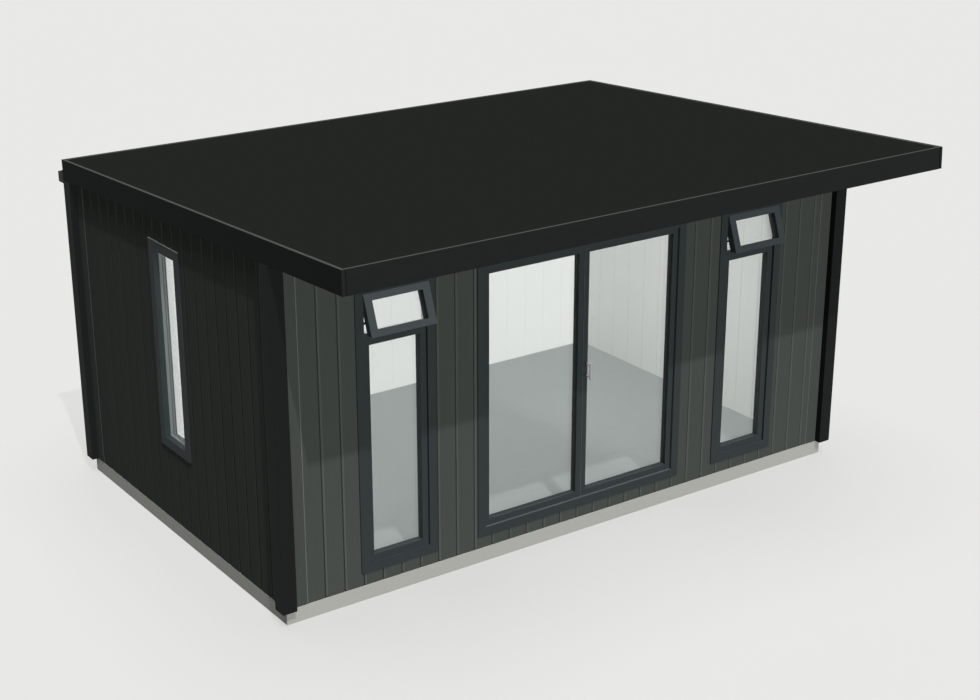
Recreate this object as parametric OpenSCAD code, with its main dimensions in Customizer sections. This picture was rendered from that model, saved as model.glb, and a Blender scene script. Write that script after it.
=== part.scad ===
// Garden room: a flat-roofed timber-frame cabin on a pale plinth, with a deep front canopy,
// a pair of glazed doors that open inwards, two tall front windows with open top lights,
// and one narrow window in the left wall.
// The origin is the middle of the plinth's underside. The front looks along -Y, and left is -X.

/* [Plinth and floor] */
// Length of the plinth along the front
plinth_l = 4800; // [4400:10:6000]
// Depth of the plinth from front to rear
plinth_d = 3005; // [2600:5:4000]
// Height of the plinth above the ground
plinth_h = 109; // [60:1:160]
// Thickness of the floor boards inside
floor_t = 12; // [8:1:30]

/* [Walls] */
// Thickness of a clad wall panel without its lining
wall_t = 150; // [120:1:200]
// Thickness of the white lining on the inside of a wall
lining_t = 12; // [9:1:20]
// Side of a square corner post
post_w = 105; // [80:1:140]

/* [Roof] */
// Height from the heads of the frames up to the roof's front top edge
head_rise = 470; // [375:5:700]
// Fall of the roof towards the rear, in degrees
roof_fall = 2.8; // [1:0.1:4]
// Reach of the canopy in front of the plinth
canopy_d = 918; // [500:1:1100]
// Depth of the roof build-up, which the fascia boards cover
roof_t = 157; // [120:1:200]
// Thickness of a fascia board
fascia_t = 20; // [15:1:30]
// Thickness of the soffit board under the canopy
soffit_t = 9; // [6:1:15]
// Thickness of the ceiling lining
ceiling_t = 12; // [9:1:20]
// Thickness of the rubber roof membrane
membrane_t = 4; // [2:1:5]
// Height of the pale trim round the roof's edge
trim_h = 6; // [6:1:15]
// Width of the pale trim round the roof's edge
trim_w = 10; // [6:1:14]

/* [Gutter] */
// Width of the gutter behind the rear fascia
gutter_w = 84; // [60:1:120]
// Height of the gutter's back
gutter_back_h = 100; // [80:1:115]
// Height of the gutter's front lip
gutter_front_h = 76; // [50:1:78]
// Distance from the roof's top down to the gutter's back edge
gutter_drop = 80; // [60:1:100]
// Thickness of the gutter's wall
gutter_wall = 3; // [2:0.5:5]
// Number of brackets that carry the gutter
bracket_count = 6; // [4:1:9]
// Width of a gutter bracket
bracket_w = 40; // [25:1:60]

/* [Frames] */
// Height of the cladding strip below the door and the front windows
sill_strip = 91; // [60:1:150]
// Overall height of the door set and of the front windows
frame_h = 1985; // [1800:5:2300]
// Width of a frame member's front face
frame_w = 63; // [55:1:80]
// Depth of a frame from front to back
frame_d = 75; // [72:1:90]
// How far a frame stands proud of the cladding
frame_proud = 10; // [4:1:20]
// Thickness of a glass unit
glass_t = 20; // [16:1:24]
// How deep a glass unit sits in its rebate at each edge
glass_lap = 12; // [8:1:16]
// Clearance round a glass unit in its rebate
glass_gap = 2; // [1:0.5:3]

/* [Doors] */
// Overall width of the door set
door_w = 1800; // [1500:10:2000]
// Width of the lip that a door leaf closes against
lip_w = 15; // [12:1:20]
// Thickness of that lip
lip_t = 15; // [10:1:18]
// Clearance round a door leaf
leaf_gap = 6; // [5:0.5:8]
// Gap between the two leaves where they meet
meeting_gap = 10; // [9.5:0.5:14]
// Thickness of a door leaf
leaf_t = 54; // [52:1:60]
// Width of a leaf's stiles and rails
leaf_bar = 52; // [46:1:70]
// Width of the stile at which a leaf meets the other one
meeting_bar = 40; // [36:1:60]
// Distance from a leaf's outer face back to its glass
glass_set = 30; // [20:1:32]

/* [Hinges and handles] */
// Height of one hinge
hinge_h = 100; // [80:1:120]
// Radius of a hinge knuckle
knuckle_r = 8; // [7:0.5:8.5]
// Radius of a hinge pin
pin_r = 4; // [3:0.5:5]
// Clearance between a pin and its knuckle
pin_gap = 0.4; // [0.3:0.1:0.6]
// Width of a hinge plate
hinge_plate_w = 38; // [30:1:42]
// Height of the door handles above the door set's foot
handle_z = 1030; // [850:5:1100]
// Length of a handle's upright bar
handle_l = 118; // [110:1:300]
// Diameter of a handle's upright bar
handle_dia = 20; // [12:1:22]
// Distance from the leaf to the near side of a handle's bar
handle_reach = 48; // [22:1:70]

/* [Windows] */
// Overall width of a front window
window_w = 600; // [450:10:640]
// Distance of a front window's middle from the middle of the front
window_x = 1533; // [1450:1:1600]
// Height of the open top light's sash
sash_h = 278; // [240:1:340]
// Height of the fixed bar under the top light
transom_h = 35; // [30:1:60]
// Width of the surround round the fixed lower glass
surround_w = 46; // [35:1:60]
// How far that surround is set back from the frame's face
surround_set = 20; // [12:1:25]
// Width of a top light's upright bars
sash_stile = 56; // [45:1:65]
// Width of a top light's level bars
sash_rail = 46; // [40:1:60]
// How far a top light's sash laps over its frame
sash_lap = 8; // [6:1:12]
// Thickness of the sash's lapping edge
sash_edge = 12; // [8:1:15]
// Depth of the sash behind its lapping edge
sash_core = 60; // [40:1:62]
// Clearance between the sash and the frame's sides, which the stays fill
stay_t = 4; // [3:0.5:6]
// Opening angle of the top lights, in degrees
sash_open = 20; // [10:1:30]
// Overall width of the window in the left wall
side_window_w = 450; // [350:10:700]
// Width of that window's bars
side_bar = 68; // [55:1:90]
// Depth of that window's frame from front to back
side_frame_d = 95; // [75:1:110]
// Height of that window's foot above the ground
side_window_z = 675; // [500:5:1200]
// Distance of that window's middle from the plinth's front
side_window_y = 1510; // [1300:5:1700]

/* [Hidden] */
$fn = 48;
eps = 1;
// What rests against a leaning face stops this far short of it
seat_gap = 0.3;
hx = plinth_l / 2;
hy = plinth_d / 2;
in_x = hx - wall_t;
in_y = hy - wall_t;
floor_z = plinth_h + floor_t;
frame_z = plinth_h + sill_strip;
head_z = frame_z + frame_h;
roof_front_z = head_z + head_rise;
half_door = door_w / 2;

// The roof is a slab that leans back; its front top edge is the line y = roof_y, z = roof_front_z
roof_y = -hy - canopy_d;
roof_l = plinth_l + post_w;
rear_y = hy + post_w / 2;
roof_run = (rear_y - roof_y) / cos(roof_fall);
rear_z = roof_front_z - roof_run * sin(roof_fall);
function under_z(y) = roof_front_z - (y - roof_y) * tan(roof_fall) - roof_t / cos(roof_fall) - seat_gap;
function rear_fascia_y(z) = rear_y + (z - rear_z) * tan(roof_fall);
function along(y, drop) = (y - roof_y + drop * sin(roof_fall)) / cos(roof_fall);

// Faces of the frames and door leaves, measured from the cladding's face
frame_y = -hy - frame_proud;
frame_back = frame_y + frame_d;
leaf_y = frame_y + lip_t + leaf_gap;
leaf_back = leaf_y + leaf_t;
leaf_edge = frame_w - lip_w + leaf_gap;
leaf_l = half_door - leaf_edge - meeting_gap / 2;
leaf_h = frame_h - 2 * leaf_edge;
leaf_z = frame_z + leaf_edge;

// A hinge's axis lies just behind the gap between the jamb and the leaf
hinge_x = half_door - frame_w + lip_w - leaf_gap / 2;
hinge_plate_t = 3;
knuckle_clear = 1;
hinge_y = leaf_back + knuckle_r + knuckle_clear;
hinge_count = 3;
hinge_inset = 160;
hinge_step = (leaf_h - 2 * hinge_inset - hinge_h) / (hinge_count - 1);
knuckle_share = 0.4;
knuckle_h = hinge_h * knuckle_share;
knuckle_gap = 0.5;

// A top light hangs from the top of its opening, and its lower edge stands out
opener_w = window_w - 2 * frame_w;
sash_w = opener_w + 2 * sash_lap;
sash_top = head_z - frame_w + sash_lap;
opener_z = sash_top - sash_h + sash_lap;
fixed_h = opener_z - transom_h - frame_z - frame_w;
pane_w = window_w - 2 * frame_w - 2 * surround_w;
pane_h = fixed_h - 2 * surround_w;
// Room for the bead that holds a glass unit at the back of a sash or of the side window
back_bead = 8;
sash_glass_set = sash_edge + sash_core - glass_t - back_bead;
side_glass_set = side_frame_d - glass_t - back_bead;
side_window_h = head_z - side_window_z;
side_mid = side_window_y - hy;

black = "#1b1c1d";
cladding = "#3d423f";
anthracite = "#343c40";
white = "#e8eae8";
steel = "#b9babb";
clear = [0.75, 0.82, 0.84, 0.45];

// Shapes that several pieces share

module block(x0, x1, y0, y1, z0, z1) {
    translate([x0, y0, z0])
        cube([x1 - x0, y1 - y0, z1 - z0]);
}

// An upright slab that reaches from z0 up to the sloping underside of the roof
module under_roof(x0, x1, y0, y1, z0) {
    translate([x0, 0, 0])
        rotate([90, 0, 90])
            linear_extrude(x1 - x0)
                polygon([[y0, z0], [y1, z0], [y1, under_z(y1)], [y0, under_z(y0)]]);
}

// Places the children on the leaning roof, with y along the fall and z = 0 at its top edge
module on_roof() {
    translate([0, roof_y, roof_front_z])
        rotate([-roof_fall, 0, 0])
            children();
}

// A glazed frame: outer face at y = 0, glass rebate open to the back, left end at x = 0
module glazed_bars(l, h, depth, left, right, rail, set) {
    difference() {
        cube([l, depth, h]);
        block(left, l - right, -eps, depth + eps, rail, h - rail);
        block(
            left - glass_lap, l - right + glass_lap, set, depth + eps,
            rail - glass_lap, h - rail + glass_lap
        );
    }
}

// The glass unit that fits such a frame
module glazed_pane(l, h, left, right, rail, set) {
    inset = glass_lap - glass_gap;
    block(left - inset, l - right + inset, set, set + glass_t, rail - inset, h - rail + inset);
}

module corner_notches(y0, y1) {
    for (s = [-1, 1])
        translate([s * hx, 0, 0])
            block(-post_w / 2, post_w / 2, y0, y1, 0, roof_front_z);
}

module window_hole(side) {
    block(
        side * window_x - window_w / 2, side * window_x + window_w / 2,
        -hy - eps, -in_y + lining_t + eps, frame_z, head_z
    );
}

module side_window_hole() {
    block(
        -hx - eps, -in_x + lining_t + eps,
        side_mid - side_window_w / 2, side_mid + side_window_w / 2, side_window_z, head_z
    );
}

// Plinth and floor

module plinth() {
    color("#aaaaa4")
        block(-hx, hx, -hy, hy, 0, plinth_h);
}

module floor_boards() {
    color("#9aa09e")
        block(-in_x, in_x, -in_y, in_y, plinth_h, floor_z);
}

// Walls, each from the plinth up to the roof

module front_wall_beside_door(side) {
    color(cladding)
        difference() {
            under_roof(
                side < 0 ? -hx : half_door, side < 0 ? -half_door : hx,
                -hy, -in_y, plinth_h
            );
            corner_notches(-hy - post_w / 2, -hy + post_w / 2);
            window_hole(side);
        }
}

module front_wall_over_door() {
    color(cladding)
        under_roof(-half_door, half_door, -hy, -in_y, head_z);
}

module front_wall_under_door() {
    color(cladding)
        block(-half_door, half_door, -hy, -in_y, plinth_h, frame_z);
}

module left_wall() {
    color(cladding)
        difference() {
            under_roof(-hx, -in_x, -in_y, in_y, plinth_h);
            side_window_hole();
        }
}

module right_wall() {
    color(cladding)
        under_roof(in_x, hx, -in_y, in_y, plinth_h);
}

module rear_wall() {
    color(cladding)
        difference() {
            under_roof(-hx, hx, in_y, hy, plinth_h);
            corner_notches(hy - post_w / 2, hy + post_w / 2);
        }
}

// White linings on the insides of the walls

module front_lining() {
    color(white)
        difference() {
            under_roof(-in_x, in_x, -in_y, -in_y + lining_t, floor_z);
            window_hole(-1);
            window_hole(1);
            block(-half_door, half_door, -hy, -in_y + lining_t + eps, 0, head_z);
        }
}

module left_lining() {
    color(white)
        difference() {
            under_roof(-in_x, -in_x + lining_t, -in_y + lining_t, in_y - lining_t, floor_z);
            side_window_hole();
        }
}

module right_lining() {
    color(white)
        under_roof(in_x - lining_t, in_x, -in_y + lining_t, in_y - lining_t, floor_z);
}

module rear_lining() {
    color(white)
        under_roof(-in_x, in_x, in_y - lining_t, in_y, floor_z);
}

// The ceiling's ends are square to the roof, so a small joint is left at the upright linings
module ceiling() {
    ceiling_joint = 2;
    half = in_x - lining_t - ceiling_joint;
    color(white)
        on_roof()
            block(
                -half, half,
                along(-in_y + lining_t + ceiling_joint, roof_t), along(in_y - lining_t - ceiling_joint, roof_t),
                -roof_t - ceiling_t, -roof_t
            );
}

// Corner posts, centred on the plinth's corners

module post(sx, sy) {
    color(black)
        under_roof(
            sx * hx - post_w / 2, sx * hx + post_w / 2,
            sy * hy - post_w / 2, sy * hy + post_w / 2, plinth_h
        );
}

// Roof

module roof_deck() {
    half = roof_l / 2 - fascia_t;
    color("#2a2b2a")
        on_roof()
            difference() {
                block(-half, half, fascia_t, roof_run - fascia_t, -roof_t, -trim_h);
                block(
                    -half - eps, half + eps, fascia_t - eps, along(-hy, roof_t),
                    -roof_t - eps, -roof_t + soffit_t
                );
            }
}

module soffit() {
    half = roof_l / 2 - fascia_t;
    color("#26282a")
        on_roof()
            block(-half, half, fascia_t, along(-hy, roof_t), -roof_t, -roof_t + soffit_t);
}

module roof_membrane() {
    half = roof_l / 2 - trim_w;
    color("#2b2d2a")
        on_roof()
            block(-half, half, trim_w, roof_run - trim_w, -trim_h, -trim_h + membrane_t);
}

module roof_edge_trim() {
    half = roof_l / 2;
    color("#6d706e")
        on_roof()
            difference() {
                block(-half, half, 0, roof_run, -trim_h, 0);
                block(-half + trim_w, half - trim_w, trim_w, roof_run - trim_w, -trim_h - eps, eps);
            }
}

module fascia_across(y0) {
    half = roof_l / 2 - fascia_t;
    color("#232527")
        on_roof()
            block(-half, half, y0, y0 + fascia_t, -roof_t, -trim_h);
}

module fascia_along(x0) {
    color("#1d1e1e")
        on_roof()
            block(x0, x0 + fascia_t, 0, roof_run, -roof_t, -trim_h);
}

// The gutter is a square channel with closed ends. It hangs plumb behind the rear posts,
// on brackets that fill the wedge between its back and the leaning rear fascia.
module gutter() {
    back = rear_y + seat_gap;
    top = rear_z - gutter_drop;
    foot = top - gutter_back_h;
    color("#26282a") {
        translate([-roof_l / 2, back, foot])
            difference() {
                rotate([90, 0, 90])
                    linear_extrude(roof_l)
                        polygon([
                            [0, 0], [gutter_w, 0], [gutter_w, gutter_front_h],
                            [gutter_w - gutter_wall, gutter_front_h],
                            [gutter_wall, gutter_back_h], [0, gutter_back_h]
                        ]);
                block(
                    gutter_wall, roof_l - gutter_wall, gutter_wall, gutter_w - gutter_wall,
                    gutter_wall, gutter_back_h + eps
                );
            }
        gutter_brackets(back, top);
    }
}

module gutter_brackets(back, top) {
    edge = 6;
    end_inset = 150;
    low = rear_z - roof_t * cos(roof_fall) + edge;
    high = top - edge;
    step = (roof_l - 2 * end_inset - bracket_w) / (bracket_count - 1);
    for (i = [0 : bracket_count - 1])
        translate([-roof_l / 2 + end_inset + i * step, 0, 0])
            rotate([90, 0, 90])
                linear_extrude(bracket_w)
                    polygon([
                        [rear_fascia_y(low) + seat_gap, low], [back - seat_gap, low],
                        [back - seat_gap, high], [rear_fascia_y(high) + seat_gap, high]
                    ]);
}

// Door set: a mitred frame with a front lip, and two leaves that open inwards

module door_surround() {
    body = frame_w - lip_w;
    difference() {
        block(-half_door, half_door, frame_y, frame_back, frame_z, head_z);
        block(
            -half_door + frame_w, half_door - frame_w, frame_y - eps, frame_back + eps,
            frame_z + frame_w, head_z - frame_w
        );
        block(
            -half_door + body, half_door - body, frame_y + lip_t, frame_back + eps,
            frame_z + body, head_z - body
        );
    }
}

module mitred(outline) {
    color(anthracite)
        intersection() {
            door_surround();
            translate([0, frame_back + eps, 0])
                rotate([90, 0, 0])
                    linear_extrude(frame_d + 2 * eps)
                        polygon(outline);
        }
}

module door_threshold() {
    mitred([
        [-half_door, frame_z], [half_door, frame_z],
        [half_door - frame_w, frame_z + frame_w], [-half_door + frame_w, frame_z + frame_w]
    ]);
}

module door_head() {
    mitred([
        [-half_door, head_z], [-half_door + frame_w, head_z - frame_w],
        [half_door - frame_w, head_z - frame_w], [half_door, head_z]
    ]);
}

module door_jamb(side) {
    mitred([
        [side * half_door, frame_z], [side * (half_door - frame_w), frame_z + frame_w],
        [side * (half_door - frame_w), head_z - frame_w], [side * half_door, head_z]
    ]);
}

// The left stile of the left leaf hangs on the hinges, and that of the right leaf meets the other leaf
function left_stile(side) = side < 0 ? leaf_bar : meeting_bar;

module at_leaf(side) {
    translate([side < 0 ? -half_door + leaf_edge : meeting_gap / 2, leaf_y, leaf_z])
        children();
}

module door_leaf(side) {
    color(anthracite)
        at_leaf(side)
            glazed_bars(leaf_l, leaf_h, leaf_t, left_stile(side), left_stile(-side), leaf_bar, glass_set);
}

module door_glass(side) {
    color(clear)
        at_leaf(side)
            glazed_pane(leaf_l, leaf_h, left_stile(side), left_stile(-side), leaf_bar, glass_set);
}

// Hinges: two fixed knuckles and the pin on the jamb, one knuckle between them on the leaf

module at_hinges(side) {
    for (i = [0 : hinge_count - 1])
        translate([side * hinge_x, hinge_y, leaf_z + hinge_inset + i * hinge_step])
            mirror([side < 0 ? 0 : 1, 0, 0])
                children();
}

module hinge_plate(x0, x1, z0, z1) {
    back = -knuckle_r - knuckle_clear;
    block(x0, x1, back, back + hinge_plate_t, z0, z1);
}

module fixed_hinge() {
    room = knuckle_r + knuckle_clear;
    far = -leaf_gap / 2 - hinge_plate_w;
    cylinder(r = pin_r, h = hinge_h);
    cylinder(r = knuckle_r, h = knuckle_h);
    translate([0, 0, hinge_h - knuckle_h])
        cylinder(r = knuckle_r, h = knuckle_h);
    hinge_plate(far, -room, 0, hinge_h);
    hinge_plate(-room - eps, 0, 0, knuckle_h);
    hinge_plate(-room - eps, 0, hinge_h - knuckle_h, hinge_h);
}

module moving_hinge() {
    z0 = knuckle_h + knuckle_gap;
    z1 = hinge_h - knuckle_h - knuckle_gap;
    room = knuckle_r + knuckle_clear;
    far = leaf_gap / 2 + hinge_plate_w;
    difference() {
        union() {
            translate([0, 0, z0])
                cylinder(r = knuckle_r, h = z1 - z0);
            hinge_plate(room, far, 0, hinge_h);
            hinge_plate(0, room + eps, z0, z1);
        }
        translate([0, 0, -eps])
            cylinder(r = pin_r + pin_gap, h = hinge_h + 2 * eps);
    }
}

module hinge_pins() {
    color(steel)
        for (side = [-1, 1])
            at_hinges(side)
                fixed_hinge();
}

module door_hinges(side) {
    color(steel)
        at_hinges(side)
            moving_hinge();
}

// One pull handle: an upright bar on two stalks with a rose at each foot
module pull_handle() {
    bar_y = handle_reach + handle_dia / 2;
    stalk = handle_l * 0.36;
    stalk_dia = handle_dia * 0.7;
    rose_dia = handle_dia * 1.5;
    rose_t = 4;
    translate([0, bar_y, -handle_l / 2])
        cylinder(d = handle_dia, h = handle_l);
    for (s = [-1, 1])
        translate([0, 0, s * stalk])
            rotate([-90, 0, 0]) {
                cylinder(d = stalk_dia, h = bar_y);
                cylinder(d = rose_dia, h = rose_t);
            }
}

module door_handles() {
    x = (meeting_gap + meeting_bar) / 2;
    z = frame_z + handle_z;
    color(steel) {
        translate([x, leaf_back, z])
            pull_handle();
        translate([x, leaf_y, z])
            rotate([0, 0, 180])
                pull_handle();
    }
}

// Front windows: a fixed lower light, a bar, and a top light that stands open on two stays

module at_window(side) {
    translate([side * window_x - window_w / 2, frame_y, frame_z])
        children();
}

module window_frame(side) {
    fixed_glass_set = surround_set + glass_set;
    color(anthracite)
        at_window(side)
            difference() {
                cube([window_w, frame_d, frame_h]);
                block(
                    frame_w, window_w - frame_w, -eps, surround_set, frame_w, frame_w + fixed_h
                );
                translate([frame_w, 0, frame_w]) {
                    block(surround_w, surround_w + pane_w, -eps, frame_d + eps, surround_w, surround_w + pane_h);
                    block(
                        surround_w - glass_lap, surround_w + pane_w + glass_lap,
                        fixed_glass_set, frame_d + eps,
                        surround_w - glass_lap, surround_w + pane_h + glass_lap
                    );
                }
                block(
                    frame_w, window_w - frame_w, -eps, frame_d + eps,
                    opener_z - frame_z, frame_h - frame_w
                );
            }
}

// Turns the children about the sash's upper edge, so that its foot stands out
module at_sash(side) {
    translate([side * window_x, frame_y, sash_top])
        rotate([-sash_open, 0, 0])
            translate([-sash_w / 2, -sash_edge, -sash_h])
                children();
}

module window_sash(side) {
    inner = sash_lap + stay_t;
    color(anthracite)
        at_sash(side)
            difference() {
                union() {
                    cube([sash_w, sash_edge, sash_h]);
                    block(
                        inner, sash_w - inner, 0, sash_edge + sash_core,
                        inner, sash_h - inner
                    );
                }
                block(
                    sash_stile, sash_w - sash_stile, -eps, sash_edge + sash_core + eps,
                    sash_rail, sash_h - sash_rail
                );
                block(
                    sash_stile - glass_lap, sash_w - sash_stile + glass_lap,
                    sash_glass_set, sash_edge + sash_core + eps,
                    sash_rail - glass_lap, sash_h - sash_rail + glass_lap
                );
            }
}

module window_glass(side) {
    color(clear) {
        at_window(side)
            translate([frame_w, surround_set, frame_w])
                glazed_pane(pane_w + 2 * surround_w, fixed_h, surround_w, surround_w, surround_w, glass_set);
        at_sash(side)
            glazed_pane(sash_w, sash_h, sash_stile, sash_stile, sash_rail, sash_glass_set);
    }
}

// A stay is a flat bar in the joint between the sash's side and the frame's side.
// It leans out from the frame and ends at the middle of the sash's depth.
module window_stays() {
    bar_w = 14;
    lean = 28;
    foot_in = frame_d * 0.45;
    foot_up = sash_h * 0.22;
    foot_down = sash_h - sash_lap - foot_up;
    depth = foot_in * cos(sash_open) + foot_down * sin(sash_open) - sash_core / 2;
    reach = depth / cos(lean - sash_open);
    color(steel)
        for (side = [-1, 1], end = [-1, 1])
            translate([
                side * window_x + end * (opener_w - stay_t) / 2,
                frame_y + foot_in, opener_z + foot_up
            ])
                rotate([90 - lean, 0, 0])
                    block(-stay_t / 2, stay_t / 2, -bar_w / 2, bar_w / 2, 0, reach);
}

// Window in the left wall: one fixed light in a plain frame

module at_side_window() {
    translate([-hx - frame_proud, side_mid + side_window_w / 2, side_window_z])
        rotate([0, 0, -90])
            children();
}

module side_window_frame() {
    color(anthracite)
        at_side_window()
            glazed_bars(side_window_w, side_window_h, side_frame_d, side_bar, side_bar, side_bar, side_glass_set);
}

module side_window_glass() {
    color(clear)
        at_side_window()
            glazed_pane(side_window_w, side_window_h, side_bar, side_bar, side_bar, side_glass_set);
}

plinth();
floor_boards();  // floor
front_wall_beside_door(-1);  // front_wall_left
front_wall_beside_door(1);  // front_wall_right
front_wall_over_door();
front_wall_under_door();
left_wall();
right_wall();
rear_wall();
front_lining();
left_lining();
right_lining();
rear_lining();
ceiling();
post(-1, -1);  // post_front_left
post(1, -1);  // post_front_right
post(-1, 1);  // post_rear_left
post(1, 1);  // post_rear_right
roof_deck();
roof_membrane();
soffit();
roof_edge_trim();
fascia_across(0);  // fascia_front
fascia_across(roof_run - fascia_t);  // fascia_rear
fascia_along(-roof_l / 2);  // fascia_left
fascia_along(roof_l / 2 - fascia_t);  // fascia_right
gutter();
door_threshold();
door_head();
door_jamb(-1);  // door_jamb_left
door_jamb(1);  // door_jamb_right
hinge_pins();
door_leaf(-1);  // left_door_leaf
door_glass(-1);  // left_door_glass
door_hinges(-1);  // left_door_hinges
door_leaf(1);  // right_door_leaf
door_glass(1);  // right_door_glass
door_hinges(1);  // right_door_hinges
door_handles();
window_frame(-1);  // left_window_frame
window_sash(-1);  // left_window_sash
window_glass(-1);  // left_window_glass
window_frame(1);  // right_window_frame
window_sash(1);  // right_window_sash
window_glass(1);  // right_window_glass
window_stays();
side_window_frame();
side_window_glass();
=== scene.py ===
"""Looks of the garden room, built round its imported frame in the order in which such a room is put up."""
from math import atan2, cos, pi, radians, sin
import bpy
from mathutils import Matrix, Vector


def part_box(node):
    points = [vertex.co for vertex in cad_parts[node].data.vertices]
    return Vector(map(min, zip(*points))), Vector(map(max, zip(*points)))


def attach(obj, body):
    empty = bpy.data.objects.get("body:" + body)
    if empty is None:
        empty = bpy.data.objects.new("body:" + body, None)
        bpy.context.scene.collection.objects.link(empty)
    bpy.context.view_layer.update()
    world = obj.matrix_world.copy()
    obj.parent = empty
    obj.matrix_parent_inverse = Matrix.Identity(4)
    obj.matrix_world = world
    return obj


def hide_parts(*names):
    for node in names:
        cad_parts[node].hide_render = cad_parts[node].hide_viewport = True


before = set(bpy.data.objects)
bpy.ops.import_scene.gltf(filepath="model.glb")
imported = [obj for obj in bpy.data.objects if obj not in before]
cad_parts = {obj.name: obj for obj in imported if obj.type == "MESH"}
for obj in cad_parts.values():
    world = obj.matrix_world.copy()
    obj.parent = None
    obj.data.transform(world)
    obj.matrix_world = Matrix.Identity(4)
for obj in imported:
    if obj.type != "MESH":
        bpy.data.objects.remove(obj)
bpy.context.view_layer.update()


# Plinth
# A low ring of pale rendered blocks that carries the floor and the walls.
# The render is floated smooth, so it has a fine sandy grain and slightly rounded arrises.
def srgb(red, green, blue):
    """A colour as a paint chart gives it, turned into the linear light that a shader takes."""
    def linear(level):
        share = level / 255
        return share / 12.92 if level < 10 else ((share + 0.055) / 1.055) ** 2.4
    return linear(red), linear(green), linear(blue), 1.0


def finish_material(name, metallic=0.0, specular=0.5):
    """A new node material, with its shader's plain values set."""
    material = bpy.data.materials.new(name)
    material.use_nodes = True
    shader = material.node_tree.nodes["Principled BSDF"]
    shader.inputs["Metallic"].default_value = metallic
    shader.inputs["Specular IOR Level"].default_value = specular
    return material


def grain(material, size, stretch=(1, 1, 1), detail=3.0):
    """Noise on the piece's own coordinates, with its marks about the given size in metres."""
    nodes, links = material.node_tree.nodes, material.node_tree.links
    coordinates = nodes.new("ShaderNodeTexCoord")
    fit = nodes.new("ShaderNodeMapping")
    fit.inputs["Scale"].default_value = [1 / (size * s) for s in stretch]
    noise = nodes.new("ShaderNodeTexNoise")
    noise.inputs["Scale"].default_value = 1.0
    noise.inputs["Detail"].default_value = detail
    links.new(coordinates.outputs["Object"], fit.inputs["Vector"])
    links.new(fit.outputs["Vector"], noise.inputs["Vector"])
    return noise.outputs["Fac"]


def between(material, factor, low, high, socket="Roughness"):
    """Lets a factor move one of the shader's values, or none yet, between two limits."""
    noise_least, noise_most = 0.3, 0.7
    nodes, links = material.node_tree.nodes, material.node_tree.links
    span = nodes.new("ShaderNodeMapRange")
    span.inputs["From Min"].default_value = noise_least
    span.inputs["From Max"].default_value = noise_most
    span.inputs["To Min"].default_value = low
    span.inputs["To Max"].default_value = high
    links.new(factor, span.inputs["Value"])
    if socket:
        links.new(span.outputs["Result"], nodes["Principled BSDF"].inputs[socket])
    return span.outputs["Result"]


def tint(material, factor, dark, light):
    """Mixes two paints by a factor into the base colour."""
    nodes, links = material.node_tree.nodes, material.node_tree.links
    mix = nodes.new("ShaderNodeMix")
    mix.data_type = "RGBA"
    links.new(factor, mix.inputs["Factor"])
    mix.inputs["A"].default_value = dark
    mix.inputs["B"].default_value = light
    links.new(mix.outputs["Result"], nodes["Principled BSDF"].inputs["Base Color"])


def emboss(material, factor, depth, strength=1.0):
    """Turns a factor into relief of the given depth in metres."""
    nodes, links = material.node_tree.nodes, material.node_tree.links
    bump = nodes.new("ShaderNodeBump")
    bump.inputs["Strength"].default_value = strength
    bump.inputs["Distance"].default_value = depth
    links.new(factor, bump.inputs["Height"])
    links.new(bump.outputs["Normal"], nodes["Principled BSDF"].inputs["Normal"])


def coat(name, dark, light, rough, mark, relief, stretch=(1, 1, 1), metallic=0.0, specular=0.5):
    """A finish whose colour, gloss and relief all follow one grain."""
    material = finish_material(name, metallic, specular)
    factor = grain(material, mark, stretch)
    tint(material, between(material, factor, 0.0, 1.0, None), dark, light)
    between(material, factor, *rough)
    emboss(material, factor, relief)
    return material


def only(piece):
    """Leaves one object selected and active."""
    bpy.ops.object.select_all(action="DESELECT")
    piece.select_set(True)
    bpy.context.view_layer.objects.active = piece


def cast(node, name):
    """A copy of a CAD node's mesh, with its loose triangles merged into whole faces."""
    piece = bpy.data.objects.new(name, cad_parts[node].data.copy())
    bpy.context.scene.collection.objects.link(piece)
    piece.data.name = name
    piece.data.materials.clear()
    only(piece)
    bpy.ops.object.mode_set(mode="EDIT")
    bpy.ops.mesh.select_all(action="SELECT")
    bpy.ops.mesh.customdata_custom_splitnormals_clear()
    bpy.ops.mesh.remove_doubles(threshold=0.00001)
    bpy.ops.mesh.dissolve_limited(angle_limit=radians(1))
    bpy.ops.object.mode_set(mode="OBJECT")
    return piece


def ease(piece, width, segments=2):
    """Rounds the sharp edges of a piece by a small radius, and keeps the faces between them flat."""
    only(piece)
    bpy.ops.object.shade_smooth()
    bevel = piece.modifiers.new("eased_edges", "BEVEL")
    bevel.width = width
    bevel.segments = segments
    bevel.limit_method = "ANGLE"
    bevel.angle_limit = radians(30)
    bevel.harden_normals = True
    bpy.ops.object.modifier_apply(modifier=bevel.name)
    return piece


def place(piece, material, nodes=(), body="building"):
    """Paints a finished piece, and says which body carries it and which nodes it stands for."""
    if material:
        piece.data.materials.clear()
        piece.data.materials.append(material)
    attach(piece, body)
    if nodes:
        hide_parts(*nodes)
    return piece


pale_render = coat("pale_render", srgb(166, 166, 160), srgb(176, 176, 170),
                   rough=(0.75, 0.9), mark=0.006, relief=0.0004)
place(ease(cast("plinth", "rendered_plinth"), width=0.003, segments=3), pale_render, ["plinth"])


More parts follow.
